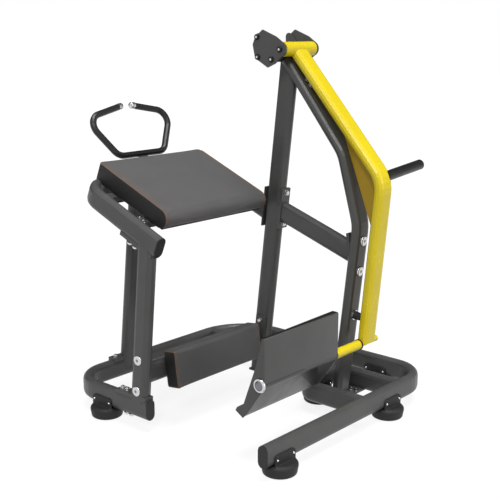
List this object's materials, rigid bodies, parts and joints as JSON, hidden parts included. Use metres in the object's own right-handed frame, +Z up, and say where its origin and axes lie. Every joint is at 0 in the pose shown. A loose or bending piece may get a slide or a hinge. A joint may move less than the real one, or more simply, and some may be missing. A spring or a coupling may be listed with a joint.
{
  "type": "glute kickback machine",
  "caption": "Plate-loaded standing kickback machine: tube base, inclined chest pad with handles, knee pad, and an overhead lever arm with a pivoting foot plate and weight horn.",
  "frame": {"origin": "on the floor, at the bottom centre of the machine's bounding box", "axes": "+Z up; +Y the way the user faces, toward the handles; -Y is the front, where the user steps in and the lever arm swings; +X to the user's right, toward the lever arm and the weight horn"},
  "size_m": [1.361, 1.401, 1.788],
  "materials": {
    "frame_paint": "charcoal grey powder coat, fine orange peel, satin",
    "arm_paint": "yellow powder coat, satin gloss",
    "gusset_paint": "dull gold-yellow powder coat",
    "plug_plastic": "moulded black plastic, fine grain",
    "shoe_rubber": "moulded black rubber",
    "pad_leatherette": "dark grey leatherette, fine grain, brown seams",
    "pad_board": "black pad backing board",
    "grip_black": "black powder coat",
    "bolt_chrome": "bright chrome",
    "shaft_steel": "ground steel",
    "bush_bronze": "sintered bronze"
  },
  "bodies": {
    "frame": {"arm_bumper": "shoe_rubber", "base_cross_tube": "frame_paint", "base_loop_tube": "frame_paint", "base_main_rail": "frame_paint", "bent_rear_tube": "frame_paint", "bumper_washer": "bolt_chrome", "chest_pad_board": "pad_board", "chest_pad_cushion": "pad_leatherette", "front_leg_cap": "plug_plastic", "front_post": "frame_paint", "handle_bar": "grip_black", "handle_bracket": "frame_paint", "handle_cap_left": "bolt_chrome", "handle_cap_right": "bolt_chrome", "head_cross_tube": "frame_paint", "inclined_beam": "frame_paint", "knee_beam": "frame_paint", "knee_pad_board": "pad_board", "knee_pad_cushion": "pad_leatherette", "left_leg_cap": "plug_plastic", "mid_upright": "frame_paint", "pad_cross_member_far": "frame_paint", "pad_cross_member_near": "frame_paint", "pad_frame_end_cap": "plug_plastic", "pad_frame_tube": "frame_paint", "pivot_bolt_left": "bolt_chrome", "pivot_bolt_right": "bolt_chrome", "pivot_plate_left": "frame_paint", "pivot_plate_right": "frame_paint", "pivot_shaft": "shaft_steel", "post_cap_bolt_lower": "bolt_chrome", "post_cap_bolt_upper": "bolt_chrome", "rear_cap_bolt_lower": "bolt_chrome", "rear_cap_bolt_upper": "bolt_chrome", "rear_post": "frame_paint", "rear_tube_foot_plate": "frame_paint", "rubber_foot_back_beam": "shoe_rubber", "rubber_foot_cross_tube": "shoe_rubber", "rubber_foot_front_left": "shoe_rubber", "rubber_foot_front_right": "shoe_rubber", "rubber_foot_left_leg": "shoe_rubber", "rubber_foot_right_rail": "shoe_rubber", "upright_foot_plate": "frame_paint"},
    "lever": {"arm_pivot_tube": "arm_paint", "pivot_bearing_left": "shaft_steel", "pivot_bearing_right": "shaft_steel", "lever_arm": "arm_paint", "lever_arm_gusset": "gusset_paint", "weight_horn": "grip_black", "arm_cross_bar": "arm_paint", "cross_bar_sleeve": "arm_paint", "sleeve_end_ring": "plug_plastic", "shaft_dome_cap": "bolt_chrome"},
    "foot_plate": {"foot_plate_hub": "frame_paint", "foot_plate_panel": "frame_paint", "foot_plate_lip": "frame_paint", "foot_plate_side_left": "frame_paint", "foot_plate_side_right": "frame_paint", "foot_bush_left": "bush_bronze", "foot_bush_right": "bush_bronze"}
  },
  "joints": [
    {"name": "lever_swing", "type": "hinge", "parent": "frame", "child": "lever", "pos_m": [0.2225, -0.0875, 1.7], "axis": [-1, 0, 0], "range_deg": [0, 60]},
    {"name": "foot_plate_tilt", "type": "hinge", "parent": "lever", "child": "foot_plate", "pos_m": [0.2225, -0.5225, 0.36], "axis": [-1, 0, 0], "range_deg": [-35, 25]}
  ]
}
